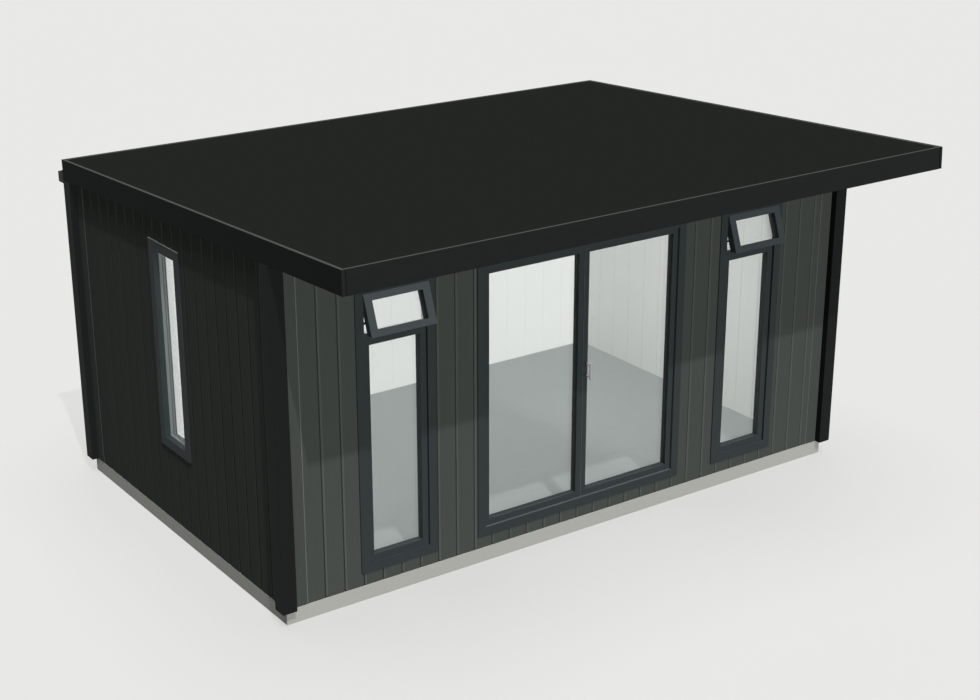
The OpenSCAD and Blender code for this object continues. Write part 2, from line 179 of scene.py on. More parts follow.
# Floor
# Pale grey planks laid from end to end on the base, with a fine bevelled joint between them.
# They are sealed with a satin lacquer that hides most of the grain.
def block(name, corner, opposite):
    """A cuboid between two opposite corners, with its place in its mesh."""
    low, high = (Vector([end(pair) for pair in zip(corner, opposite)]) for end in (min, max))
    bpy.ops.object.select_all(action="DESELECT")
    bpy.ops.mesh.primitive_cube_add(size=1, location=(low + high) / 2)
    piece = bpy.context.object
    piece.name = piece.data.name = name
    piece.scale = high - low
    bpy.ops.object.transform_apply(location=True, rotation=True, scale=True)
    return piece


def repeat(piece, count, step):
    """Copies a piece in a row, as one mesh."""
    only(piece)
    row = piece.modifiers.new("row", "ARRAY")
    row.count = count
    row.use_relative_offset = False
    row.use_constant_offset = True
    row.constant_offset_displace = step
    bpy.ops.object.modifier_apply(modifier=row.name)
    return piece


def trim_off(piece, point, normal):
    """Saws off what lies beyond a plane, and closes the cut."""
    only(piece)
    bpy.ops.object.mode_set(mode="EDIT")
    bpy.ops.mesh.select_all(action="SELECT")
    bpy.ops.mesh.bisect(plane_co=point, plane_no=normal, use_fill=True, clear_outer=True)
    bpy.ops.object.mode_set(mode="OBJECT")
    return piece


floor_low, floor_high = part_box("floor")
plank_w, plank_joint, plank_bevel = 0.19, 0.0003, 0.0006
plank_count = int((floor_high.y - floor_low.y) / plank_w) + 1
planks = block("floor_planks", floor_low, (floor_high.x, floor_low.y + plank_w - plank_joint, floor_high.z))
ease(planks, plank_bevel, segments=1)
repeat(planks, plank_count, (0, plank_w, 0))
trim_off(planks, (0, floor_high.y, 0), (0, 1, 0))
plank_lacquer = coat("plank_lacquer", srgb(134, 140, 139), srgb(139, 145, 144),
                     rough=(0.5, 0.65), mark=0.012, relief=0.00003, stretch=(14, 1, 1))
place(planks, plank_lacquer, ["floor"])


# Outer walls
# Insulated panels faced with upright shiplap boards: each has a lap, a cove and a square edge.
# The paint is dark grey-green; the coves are lighter, a painted highlight, and the laps and square edges
# darker, painted shade. A strip at the foot, in the same painted shade, closes the joints between the
# boards.
def near(a, b, room=0.0005):
    """Says whether two measures are the same, give or take half a millimetre."""
    return abs(a - b) < room


pitch, board_t, lap_w, cove_w, board_joint = 0.1476, 0.020, 0.014, 0.009, 0.0005
wall_low, wall_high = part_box("left_wall")
half_x, half_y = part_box("right_wall")[1].x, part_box("rear_wall")[1].y
foot_z, top_z = wall_low.z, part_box("front_wall_left")[1].z
wall_points = [v.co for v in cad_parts["left_wall"].data.vertices]
rear_top = max(p.z for p in wall_points if near(p.y, wall_high.y))
roof_slope = (wall_high.z - rear_top) / (wall_high.y - wall_low.y)
roof_under = Vector((0, wall_low.y, wall_high.z))
roof_normal = Vector((0, roof_slope, 1))
# A face looks along an axis, or leans towards it, when its normal has at least this share there.
square_on, leaning = 0.9, 0.5


def board_paint(name, run_axis, start, dark, light):
    """Matt paint on boards: long faint grain, and a slightly different tone on each board."""
    board_share = 0.35
    material = finish_material(name, specular=0.0)
    nodes, links = material.node_tree.nodes, material.node_tree.links
    factor = grain(material, size=0.004, stretch=(1, 1, 40), detail=4.0)
    split = nodes.new("ShaderNodeSeparateXYZ")
    links.new(nodes["Texture Coordinate"].outputs["Object"], split.inputs["Vector"])
    scaled = nodes.new("ShaderNodeMath")
    scaled.operation = "MULTIPLY_ADD"
    scaled.inputs[1].default_value = 1 / pitch
    scaled.inputs[2].default_value = -start / pitch
    links.new(split.outputs[run_axis], scaled.inputs[0])
    index = nodes.new("ShaderNodeMath")
    index.operation = "FLOOR"
    links.new(scaled.outputs[0], index.inputs[0])
    tone = nodes.new("ShaderNodeTexWhiteNoise")
    tone.noise_dimensions = "1D"
    links.new(index.outputs[0], tone.inputs["W"])
    blend = nodes.new("ShaderNodeMath")
    blend.operation = "MULTIPLY_ADD"
    blend.inputs[1].default_value = board_share
    links.new(tone.outputs["Value"], blend.inputs[0])
    links.new(between(material, factor, 0.0, 1 - board_share, None), blend.inputs[2])
    tint(material, blend.outputs[0], dark, light)
    between(material, factor, low=0.55, high=0.7)
    emboss(material, factor, depth=0.0004, strength=0.6)
    return material


def mark_faces(piece, index, test):
    """Gives the faces that pass a test another of the piece's finishes."""
    for face in piece.data.polygons:
        if test(face.center, face.normal):
            face.material_index = index


def pick(piece, test, edges=False):
    """Opens a piece for editing with only the faces, or the edges, that pass a test selected."""
    only(piece)
    bpy.ops.object.mode_set(mode="EDIT")
    bpy.ops.mesh.select_mode(type="EDGE" if edges else "FACE")
    bpy.ops.mesh.select_all(action="DESELECT")
    bpy.ops.object.mode_set(mode="OBJECT")
    if edges:
        for edge in piece.data.edges:
            edge.select = test(*(piece.data.vertices[i].co for i in edge.vertices))
    else:
        for face in piece.data.polygons:
            face.select = test(face.center, face.normal)
    bpy.ops.object.mode_set(mode="EDIT")


def settle(piece, spot, turn=(0, 0, 0)):
    """Turns and moves a piece that was made at the origin, and keeps its place in its mesh."""
    only(piece)
    piece.rotation_euler = turn
    piece.location = spot
    bpy.ops.object.transform_apply(location=True, rotation=True, scale=True)
    return piece


# The places in a board's list of paints, after the paint of its face, of the cove's painted highlight
# and of the painted shade on the lap and the square edge.
cove_highlight_paint, groove_shade_paint = 1, 2


def board_row(name, turn, start, length, paints):
    """A row of shiplap boards, each with its lap at the left as seen from outside, turned to one side."""
    spare_boards = 3
    board = block(name, (lap_w, 0, foot_z), (pitch - board_joint, board_t, top_z))
    pick(board, lambda a, b: all(near(p.x, lap_w) and near(p.y, 0) for p in (a, b)), edges=True)
    bpy.ops.mesh.bevel(offset=cove_w, segments=1)
    bpy.ops.object.mode_set(mode="OBJECT")
    pick(board, lambda centre, normal: near(centre.x, lap_w))
    bpy.ops.mesh.extrude_region_move(TRANSFORM_OT_translate={"value": (-lap_w, 0, 0)})
    bpy.ops.object.mode_set(mode="OBJECT")
    for paint in paints:
        board.data.materials.append(paint)
    # Painted highlight on the cove; painted shade on the square edge and on the lap's floor.
    mark_faces(board, cove_highlight_paint, lambda centre, normal: normal.x < -leaning and normal.y < -leaning)
    mark_faces(board, groove_shade_paint, lambda centre, normal: normal.x > square_on or centre.x < lap_w)
    repeat(board, int(length / pitch) + spare_boards, (pitch, 0, 0))
    return settle(board, start, (0, 0, turn))


def cut_out(piece, cutter):
    """Takes a cutter's shape out of a piece, and clears the cutter away."""
    only(piece)
    cut = piece.modifiers.new("cut", "BOOLEAN")
    cut.operation = "DIFFERENCE"
    cut.solver = "EXACT"
    cut.object = cutter
    bpy.ops.object.modifier_apply(modifier=cut.name)
    bpy.data.objects.remove(cutter)
    return piece


def joined(name, *pieces):
    """One mesh out of one or more pieces."""
    only(pieces[0])
    if len(pieces) > 1:
        for piece in pieces[1:]:
            piece.select_set(True)
        bpy.ops.object.join()
    pieces[0].name = pieces[0].data.name = name
    return pieces[0]


row_shift, left_count = 0.0073, 20
post_low, post_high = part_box("post_front_left")
front_start = Vector((-half_x - row_shift, -half_y, 0))
left_start = Vector((-half_x, post_high.y + left_count * pitch, 0))
right_start = Vector((half_x, post_high.y, 0))
rear_start = Vector((half_x + row_shift, half_y, 0))
# Face, cove and groove paints: the cove's is lighter as a painted highlight, the groove's darker as painted
# shade.
long_tones = {
    "face": (srgb(69, 74, 70), srgb(75, 80, 76)),
    "cove": (srgb(88, 93, 89), srgb(94, 99, 95)),
    "groove": (srgb(44, 48, 45), srgb(50, 54, 51)),
}
# The short sides' copy of the board paints is a little darker all over, as painted shade; its cove keeps the
# face tone.
shaded_side_tones = {
    "face": (srgb(65, 70, 66), srgb(70, 75, 71)),
    "cove": (srgb(65, 70, 66), srgb(70, 75, 71)),
    "groove": (srgb(38, 42, 39), srgb(43, 47, 44)),
}
long_paints = [board_paint(f"board_{part}_long", "X", front_start.x, *pair)
               for part, pair in long_tones.items()]
shaded_side_paints = [board_paint(f"board_{part}_side", "Y", right_start.y, *pair)
               for part, pair in shaded_side_tones.items()]
rows = {
    "front": board_row("front_boards", 0, front_start, 2 * half_x, long_paints),
    "left": board_row("left_boards", -pi / 2, left_start, 2 * half_y, shaded_side_paints),
    "right": board_row("right_boards", pi / 2, right_start, 2 * half_y, shaded_side_paints),
    "rear": board_row("rear_boards", pi, rear_start, 2 * half_x, long_paints),
}
outward = {
    "front": Vector((0, -1, 0)),
    "left": Vector((-1, 0, 0)),
    "right": Vector((1, 0, 0)),
    "rear": Vector((0, 1, 0)),
}
white_panel = coat("white_panel", srgb(219, 221, 219), srgb(221, 223, 221),
                   rough=(0.55, 0.7), mark=0.08, relief=0.00001)


def along_wall(out):
    """The direction in which a wall runs that faces outwards this way."""
    return Vector((abs(out.y), abs(out.x), 0))


def wall_face(out, inset=0.0):
    """A point on a wall's outer face, or so far behind it, straight out from the middle of the room."""
    return out * ((half_x if out.x else half_y) - inset)


def clad_wall(name, node, side, first, last, openings=(), ends=()):
    """A wall panel with its boards: the panel gives up the boards' thickness on each outer side."""
    low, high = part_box(node)
    panel = cast(node, name)
    panel.data.materials.append(white_panel)
    for face_side in (side, *ends):
        trim_off(panel, wall_face(outward[face_side], board_t), outward[face_side])
    row = rows[side].copy()
    row.data = rows[side].data.copy()
    bpy.context.scene.collection.objects.link(row)
    along = along_wall(outward[side])
    trim_off(row, along * first, -along)
    trim_off(row, along * last, along)
    trim_off(row, (0, 0, low.z), (0, 0, -1))
    trim_off(row, (0, 0, high.z), (0, 0, 1))
    trim_off(row, roof_under, roof_normal)
    for hole_low, hole_high in openings:
        cut_out(row, block("opening", hole_low, hole_high))
    return place(joined(name, row, panel), None, [node])


def window_gap(node, out):
    """The opening that a window fills in its wall, run out past both of the wall's faces."""
    past_wall = 0.3
    low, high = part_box(node)
    reach = Vector((abs(out.x), abs(out.y), 0)) * past_wall
    return low - reach, high + reach


post_w = post_high.x - post_low.x
in_line_x, in_line_y = half_x - post_w / 2, half_y - post_w / 2
door_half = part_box("door_head")[1].x
clad_wall("front_boarding_left", "front_wall_left", "front", -in_line_x, -door_half,
          [window_gap("left_window_frame", outward["front"])], ["left"])
clad_wall("front_boarding_right", "front_wall_right", "front", door_half, in_line_x,
          [window_gap("right_window_frame", outward["front"])], ["right"])
clad_wall("front_boarding_over_door", "front_wall_over_door", "front", -door_half, door_half)
clad_wall("front_boarding_under_door", "front_wall_under_door", "front", -door_half, door_half)
clad_wall("left_boarding", "left_wall", "left", -in_line_y, in_line_y,
          [window_gap("side_window_frame", outward["left"])])
clad_wall("right_boarding", "right_wall", "right", -in_line_y, in_line_y)
clad_wall("rear_boarding", "rear_wall", "rear", -in_line_x, in_line_x, ends=["left", "right"])
for row in rows.values():
    bpy.data.objects.remove(row)
closer_h, closer_set = 0.005, 0.001
for side, out in outward.items():
    reach = Vector((abs(out.y) * in_line_x, abs(out.x) * in_line_y, 0))
    outer, inner = wall_face(out, closer_set) - reach, wall_face(out, board_t) + reach
    closer = block(f"foot_closer_{side}", (*outer.xy, foot_z), (*inner.xy, foot_z + closer_h))
    # The closer takes the grooves' painted shade.
    place(closer, (shaded_side_paints if out.x else long_paints)[groove_shade_paint])


# Corner posts
# Square steel posts at the four corners that carry the roof, half outside the boards.
# Powder-coated black with a fine satin texture.
black_coat = coat("black_coat", srgb(27, 29, 29), srgb(31, 33, 33),
                  rough=(0.5, 0.62), mark=0.003, relief=0.0001, specular=0.03)
for corner in ("front_left", "front_right", "rear_left", "rear_right"):
    post = ease(cast(f"post_{corner}", f"corner_post_{corner}"), width=0.003, segments=3)
    place(post, black_coat, [f"post_{corner}"])


# Corner trims
# Flat strips nailed over the boards' cut ends beside each corner post, with a thin bead that seals the edge.
# They are painted with the boards; next to the front posts on the short sides they are black, as painted
# shade.
trim_proud, trim_edge, bead_width, bead_proud = 0.0025, 0.155, 0.003, 0.0025
strip_w, strip_arris, strip_spare = trim_edge - post_w / 2, 0.0006, 0.05
trim_paint = coat("trim_paint", srgb(68, 73, 70), srgb(73, 78, 75),
                  rough=(0.55, 0.7), mark=0.004, relief=0.0001, stretch=(1, 1, 40), specular=0.0)
pale_sealant = coat("pale_sealant", srgb(116, 118, 116), srgb(124, 126, 124),
                    rough=(0.5, 0.65), mark=0.004, relief=0.0002, specular=0.1)
# A darker copy of the sealant for the beads on the short sides, as painted shade.
side_sealant_painted_shade = coat("side_sealant_painted_shade", srgb(76, 78, 76), srgb(84, 86, 84),
                    rough=(0.5, 0.65), mark=0.004, relief=0.0002, specular=0.0)


def upright_strip(name, out, along, inner, width, proud):
    """A strip on a wall's face from its foot up to the roof, from a distance along the wall outwards."""
    back = wall_face(out) + along * inner
    front = wall_face(out) + out * proud + along * (inner + width)
    strip = block(name, (*back.xy, foot_z), (*front.xy, post_high.z + strip_spare))
    trim_off(strip, roof_under, roof_normal)
    return ease(strip, strip_arris)


for side, out in outward.items():
    trim_from = (half_y if out.x else half_x) - trim_edge
    for end, label in ((-1, "near"), (1, "far")):
        along = along_wall(out) * end
        strip = upright_strip(f"corner_trim_{side}_{label}", out, along, trim_from, strip_w, trim_proud)
        # Black next to the front posts on the short sides, as painted shade beside the posts.
        place(strip, black_coat if out.x and end < 0 else trim_paint)
        bead = upright_strip(f"corner_bead_{side}_{label}", out, along, trim_from - bead_width,
                             bead_width, bead_proud)
        place(bead, side_sealant_painted_shade if out.x else pale_sealant)


# Linings and ceiling
# White wall boards on the inside of the panels, butted with a fine V-joint between them.
# They are finished at the works with a smooth satin paint; the side walls' joints carry painted shade.
joint_w, panel_pitch, across_shift, along_shift = 0.002, 0.198, 0.018, 0.05


def v_joints(piece, first, step, count):
    """Cuts a row of fine upright V-shaped joints into one face of a piece."""
    half_w = joint_w / 2
    cutter = block("joint_cutter", (-half_w, -half_w, -top_z), (half_w, half_w, top_z))
    settle(cutter, first, (0, 0, radians(45)))
    return cut_out(piece, repeat(cutter, count, step))


def two_coats(piece, main, second, test):
    """Paints a piece with one finish, and the faces that pass a test with a second one."""
    piece.data.materials.append(main)
    piece.data.materials.append(second)
    mark_faces(piece, 1, test)
    return piece


inner_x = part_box("right_lining")[0].x
inner_front, inner_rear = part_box("front_lining")[1].y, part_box("rear_lining")[0].y
lining_mid = (foot_z + top_z) / 2
across_count, along_count = int(2 * inner_x / panel_pitch), int((inner_rear - inner_front) / panel_pitch)
across_first, along_first = -across_count // 2 * panel_pitch + across_shift, inner_front + along_shift
lining_rows = {
    "rear_lining": ((across_first, inner_rear, lining_mid), (panel_pitch, 0, 0), across_count),
    "front_lining": ((across_first, inner_front, lining_mid), (panel_pitch, 0, 0), across_count),
    "left_lining": ((-inner_x, along_first, lining_mid), (0, panel_pitch, 0), along_count),
    "right_lining": ((inner_x, along_first, lining_mid), (0, panel_pitch, 0), along_count),
}
joint_shade = coat("joint_shade", srgb(164, 166, 164), srgb(168, 170, 168),
                   rough=(0.6, 0.75), mark=0.08, relief=0.00001, specular=0.1)
for node, (first, step, count) in lining_rows.items():
    sheet = v_joints(cast(node, f"wall_boards_{node.split('_')[0]}"), first, step, count)
    on_side_wall = node in ("left_lining", "right_lining")
    # Painted shade on the slanted joint faces of the side walls.
    two_coats(sheet, white_panel, joint_shade,
              lambda centre, normal: on_side_wall and leaning < abs(normal.y) < square_on)
    place(sheet, None, [node])
sheet_arris = 0.001
place(ease(cast("ceiling", "ceiling_boards"), sheet_arris), white_panel, ["ceiling"])


# Roof deck, soffit and fascias
# A plywood deck, closed by deep fascia boards all round and by a boarded soffit under the canopy.
# Fascias and soffit are brushed black; the side fascias take a copy with a lighter base and less sheen,
# as painted light. An open joint parts the front fascia from the side fascias' ends.
deck_ply = coat("deck_ply", srgb(150, 122, 88), srgb(170, 142, 104),
                rough=(0.7, 0.85), mark=0.03, relief=0.0003, stretch=(12, 1, 1))
place(ease(cast("roof_deck", "roof_deck_sheet"), sheet_arris), deck_ply, ["roof_deck"])
black_paint = coat("black_paint", srgb(28, 30, 30), srgb(33, 35, 35),
                   rough=(0.5, 0.65), mark=0.004, relief=0.0002, stretch=(30, 1, 1), specular=0.025)
# Lighter base and less sheen than the front and rear fascias' paint, as painted light on the sides.
side_black_painted_light = coat("black_paint_side_painted_light", srgb(33, 35, 35), srgb(38, 40, 40),
                  rough=(0.5, 0.65), mark=0.004, relief=0.0002, stretch=(1, 30, 1), specular=0.0075)
place(ease(cast("soffit", "soffit_boards"), sheet_arris), black_paint, ["soffit"])
fascia_arris, corner_joint_w, corner_joint_t, cutter_reach = 0.002, 0.008, 0.006, 1
for side in ("front", "rear", "left", "right"):
    board = cast(f"fascia_{side}", f"fascia_board_{side}")
    if side == "front":
        face = max(board.data.polygons, key=lambda face: face.area if face.normal.y < -square_on else 0)
        middle, lean = face.center.copy(), atan2(-face.normal.z, -face.normal.y)
        for end in (-1, 1):
            cutter = block("corner_joint", (-corner_joint_w, -corner_joint_t, -cutter_reach),
                           (corner_joint_w, corner_joint_t, cutter_reach))
            board_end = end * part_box("fascia_front")[1].x
            cut_out(board, settle(cutter, (board_end, middle.y, middle.z), (lean, 0, 0)))
    paint = black_paint if side in ("front", "rear") else side_black_painted_light
    place(ease(board, fascia_arris), paint, [f"fascia_{side}"])


# Roof skin, its edge trim and the gutter
# One sheet of matt black rubber, held down along the edges by the flange of a slim trim.
# The tops of flange and trim are grey, a painted highlight.
# A black plastic gutter hangs on brackets behind the rear fascia.
rubber = coat("roof_rubber", srgb(25, 27, 24), srgb(27, 29, 26),
              rough=(0.7, 0.85), mark=0.02, relief=0.0002, specular=0.0)
grey_top_highlight = coat("grey_top_highlight", srgb(62, 65, 63), srgb(68, 71, 69),
                 rough=(0.5, 0.65), mark=0.01, relief=0.0001, specular=0.0)
flange_w, flange_t, edge_reach = 0.016, 0.001, 0.05
# The top of a bar, with the upper part of its rounded edges, looks up at least this much.
upward = 0.6
skin = cast("roof_membrane", "roof_skin")
skin_low, skin_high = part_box("roof_membrane")
pick(skin, lambda centre, normal: normal.z > square_on)
bpy.ops.mesh.inset(thickness=flange_w, depth=-flange_t)
bpy.ops.object.mode_set(mode="OBJECT")
# Painted highlight: grey on the top of the flange ring.
two_coats(skin, rubber, grey_top_highlight, lambda centre, normal: normal.z > square_on and edge_reach > min(
    centre.x - skin_low.x, skin_high.x - centre.x, centre.y - skin_low.y, skin_high.y - centre.y))
place(skin, None, ["roof_membrane"])
edge_strip = ease(cast("roof_edge_trim", "roof_edge_strip"), width=0.0015)
# Painted highlight: grey on the strip's upward faces.
two_coats(edge_strip, side_black_painted_light, grey_top_highlight, lambda centre, normal: normal.z > upward)
place(edge_strip, None, ["roof_edge_trim"])
black_plastic = coat("black_plastic", srgb(30, 32, 32), srgb(35, 37, 37),
                     rough=(0.35, 0.45), mark=0.02, relief=0.0001, specular=0.04)
place(ease(cast("gutter", "rear_gutter"), width=0.0008), black_plastic, ["gutter"])


# Door frame
# Four mitred aluminium bars with a lip that the doors close against, powder-coated dark grey.
# The coat is satin and very even; the threshold's upward faces are lighter, a painted highlight.
bar_arris = 0.0015
grey_coat = coat("grey_coat", srgb(52, 58, 59), srgb(56, 62, 63),
                 rough=(0.38, 0.48), mark=0.0015, relief=0.00006, specular=0.03)
for node in ("door_head", "door_jamb_left", "door_jamb_right"):
    place(ease(cast(node, f"{node}_bar"), bar_arris), grey_coat, [node])
top_highlight_coat = coat("top_highlight_coat", srgb(80, 86, 88), srgb(85, 91, 93),
                  rough=(0.4, 0.5), mark=0.0015, relief=0.00006, specular=0.2)
threshold = ease(cast("door_threshold", "door_threshold_bar"), bar_arris)
# Painted highlight on the threshold's upward faces.
two_coats(threshold, grey_coat, top_highlight_coat, lambda centre, normal: normal.z > upward)
place(threshold, None, ["door_threshold"])


# Doors with their glass
# Two leaves of the same coated bars, each round a sealed glass unit.
# A unit is two panes on a spacer bar, bedded on black rubber outside and held by a slim bead inside.
def ring(name, width, height, bar, front, back):
    """An upright rectangular loop round the origin, with bars of one width, between two depths."""
    loop = block(name, (-width / 2, front, -height / 2), (width / 2, back, height / 2))
    pick(loop, lambda centre, normal: abs(normal.y) > square_on)
    bpy.ops.mesh.inset(thickness=bar)
    bpy.ops.mesh.bridge_edge_loops()
    bpy.ops.object.mode_set(mode="OBJECT")
    return loop


def clear_glass(name):
    """Glass that lets the light through and mirrors more at a slant."""
    mirror_straight, mirror_slant, slant_power = 0.025, 0.7, 5.0
    wave_size, wave_rough = 0.4, 0.012
    material = finish_material(name, metallic=1.0)
    nodes, links = material.node_tree.nodes, material.node_tree.links
    shader = nodes["Principled BSDF"]
    shader.inputs["Base Color"].default_value = srgb(244, 246, 245)
    between(material, grain(material, wave_size), 0.0, wave_rough)
    slant = nodes.new("ShaderNodeLayerWeight")
    fifth = nodes.new("ShaderNodeMath")
    fifth.operation = "POWER"
    fifth.inputs[1].default_value = slant_power
    mirror = nodes.new("ShaderNodeMath")
    mirror.operation = "MULTIPLY_ADD"
    mirror.inputs[1].default_value = mirror_slant
    mirror.inputs[2].default_value = mirror_straight
    links.new(slant.outputs["Facing"], fifth.inputs[0])
    links.new(fifth.outputs[0], mirror.inputs[0])
    through = nodes.new("ShaderNodeBsdfTransparent")
    through.inputs["Color"].default_value = (0.991, 0.992, 0.991, 1)
    share = nodes.new("ShaderNodeMixShader")
    links.new(mirror.outputs[0], share.inputs["Fac"])
    links.new(through.outputs[0], share.inputs[1])
    links.new(shader.outputs[0], share.inputs[2])
    links.new(share.outputs[0], nodes["Material Output"].inputs["Surface"])
    return material


window_glass = clear_glass("window_glass")
black_rubber = coat("black_rubber", srgb(22, 23, 23), srgb(28, 29, 29),
                    rough=(0.6, 0.75), mark=0.005, relief=0.0001)
spacer_metal = coat("spacer_metal", srgb(50, 52, 52), srgb(56, 58, 58),
                    rough=(0.4, 0.5), mark=0.003, relief=0.00005, specular=0.05)
pane_t, seal_w, seal_t, bead_w, slim_bead_t = 0.004, 0.0015, 0.004, 0.012, 0.0035
glass_hold, glass_room, glazing_arris = 0.010, 0.0015, 0.0008


def glaze(name, node, body, bead_t, spacer_paint, bead_paint, turn=0, seal_paint=black_rubber):
    """Fits each glass unit of a node with panes, spacer, seal and bead; turn faces it sideways."""
    only(cast(node, name))
    bpy.ops.object.mode_set(mode="EDIT")
    bpy.ops.mesh.select_all(action="SELECT")
    bpy.ops.mesh.separate(type="LOOSE")
    bpy.ops.object.mode_set(mode="OBJECT")
    panes, spacers, seals, beads = [], [], [], []
    for slab in list(bpy.context.selected_objects):
        points = [v.co.copy() for v in slab.data.vertices]
        normal = max(slab.data.polygons, key=lambda face: face.area).normal.copy()
        bpy.data.objects.remove(slab)
        middle = sum(points, Vector()) / len(points)
        if turn:
            lean, wide, deep = 0, Vector((0, -1, 0)), Vector((1, 0, 0))
        else:
            lean = atan2(normal.z, normal.y) if normal.y > 0 else atan2(-normal.z, -normal.y)
            wide, deep = Vector((1, 0, 0)), Vector((0, cos(lean), sin(lean)))
        up = Vector((0, -sin(lean), cos(lean)))
        width, height, thick = (2 * max((p - middle).dot(axis) for p in points) for axis in (wide, up, deep))
        half_w, half_h, back = width / 2, height / 2, thick / 2
        for front in (-back, back - pane_t):
            pane = block("pane", (-half_w, front, -half_h), (half_w, front + pane_t, half_h))
            panes.append(ease(pane, glazing_arris))
        clear_w, clear_h = width - 2 * glass_hold, height - 2 * glass_hold
        rebate_w, rebate_h = width + 2 * glass_room, height + 2 * glass_room
        spacers.append(ring("spacer", width, height, glass_hold, -back + pane_t, back - pane_t))
        seals.append(ring("seal", clear_w, clear_h, seal_w, -back - seal_t, -back))
        beads.append(ring("bead", rebate_w, rebate_h, bead_w, back, back + bead_t))
        for piece in (*panes[-2:], spacers[-1], seals[-1], beads[-1]):
            settle(piece, middle, (lean, 0, turn))
    place(joined(f"{name}_panes", *panes), window_glass, [node], body)
    place(joined(f"{name}_spacers", *spacers), spacer_paint, (), body)
    place(ease(joined(f"{name}_seals", *seals), glazing_arris), seal_paint, (), body)
    place(ease(joined(f"{name}_beads", *beads), glazing_arris), bead_paint, (), body)


reveal_inset = 0.03
# Painted shade for the upright sides of the glazing rebates.
rebate_shade_coat = coat("rebate_shade_coat", srgb(38, 42, 43), srgb(42, 46, 47),
                   rough=(0.45, 0.55), mark=0.0015, relief=0.00006, specular=0.02)


def coat_with_rebate_shade(piece, node, paint):
    """Coats the bars round a glass unit, with painted shade on the upright sides of the glazing rebate."""
    low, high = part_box(node)
    return two_coats(piece, paint, rebate_shade_coat, lambda centre, normal: abs(normal.x) > square_on
                     and low.x + reveal_inset < centre.x < high.x - reveal_inset)


frame_low, frame_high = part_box("door_threshold")[0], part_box("door_head")[1]
leaf_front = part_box("left_door_leaf")[0].y
lip_in, lip_deep, closing_w, closing_clear = 0.063, 0.015, 0.008, 0.0006
closing_in = 2 * (lip_in - closing_w)
closing_seal = ring("door_closing_seal", frame_high.x - frame_low.x - closing_in,
                    frame_high.z - frame_low.z - closing_in, closing_w,
                    frame_low.y + lip_deep, leaf_front - closing_clear)
settle(closing_seal, (0, 0, (frame_low.z + frame_high.z) / 2))
ease(closing_seal, glazing_arris)
sill_top = frame_low.z + lip_in + closing_w
# Painted highlight on the seal's upward faces along the sill.
two_coats(closing_seal, grey_coat, top_highlight_coat,
          lambda centre, normal: normal.z > upward and centre.z < sill_top)
place(closing_seal, None)
meeting_fin, fin_set, fin_short, fin_arris = 0.0022, 0.001, 0.002, 0.0005
fin_depth = {"left": 0.006, "right": 0.02}
# The right leaf's fin is pale grey, painted light that takes the shade out of the gap between the leaves.
pale_fin_painted_light = coat("pale_fin_painted_light", srgb(106, 112, 113), srgb(112, 118, 119),
                      rough=(0.6, 0.75), mark=0.003, relief=0.00005, specular=0.03)
for side in ("left", "right"):
    leaf_node, body = f"{side}_door_leaf", f"{side}_door"
    leaf = coat_with_rebate_shade(ease(cast(leaf_node, f"{side}_door_bars"), bar_arris), leaf_node, grey_coat)
    place(leaf, None, [leaf_node], body)
    glaze(f"{side}_door", f"{side}_door_glass", body, slim_bead_t, spacer_metal, grey_coat)
    leaf_low, leaf_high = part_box(leaf_node)
    meeting_edge, out = (leaf_high.x, 1) if side == "left" else (leaf_low.x, -1)
    fin_front = leaf_low.y + fin_set
    fin = block(f"{side}_meeting_fin", (meeting_edge, fin_front, leaf_low.z + fin_short),
                (meeting_edge + out * meeting_fin, fin_front + fin_depth[side], leaf_high.z - fin_short))
    place(ease(fin, fin_arris), grey_coat if side == "left" else pale_fin_painted_light, (), body)


# Hinges and handles
# Pinned steel hinges at the back of the frame, and a bar handle on each face of the right leaf.
# Both are brushed and satin, the handles slightly warm in tone.
hinge_arris = 0.0005
hinge_steel = coat("hinge_steel", srgb(120, 122, 122), srgb(140, 142, 142),
                   rough=(0.35, 0.5), mark=0.002, relief=0.00005, stretch=(1, 1, 12), metallic=1.0)
pins = ease(cast("hinge_pins", "hinge_pins_and_frame_plates"), hinge_arris, segments=1)
place(pins, hinge_steel, ["hinge_pins"])
for side in ("left", "right"):
    plates = ease(cast(f"{side}_door_hinges", f"{side}_hinge_plates"), hinge_arris, segments=1)
    place(plates, hinge_steel, [f"{side}_door_hinges"], f"{side}_door")


def score(piece, point, normal):
    """Scores a piece all round along a plane, so that its two sides can take different coats."""
    only(piece)
    bpy.ops.object.mode_set(mode="EDIT")
    bpy.ops.mesh.select_all(action="SELECT")
    bpy.ops.mesh.bisect(plane_co=point, plane_no=normal)
    bpy.ops.object.mode_set(mode="OBJECT")


handle_satin = coat("handle_satin", srgb(182, 178, 180), srgb(190, 186, 188),
                    rough=(0.35, 0.45), mark=0.002, relief=0.00004, stretch=(1, 1, 12), specular=0.2)
handles = ease(cast("door_handles", "bar_handles"), width=0.0008)
leaf_low, leaf_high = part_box("right_door_leaf")
foot_reach = 0.02
foot_front, foot_back = leaf_low.y - foot_reach, leaf_high.y + foot_reach
for depth in (foot_front, foot_back):
    score(handles, (0, depth, 0), (0, 1, 0))
two_coats(handles, handle_satin, grey_coat, lambda centre, normal: foot_front < centre.y < foot_back)
place(handles, None, ["door_handles"], "right_door")


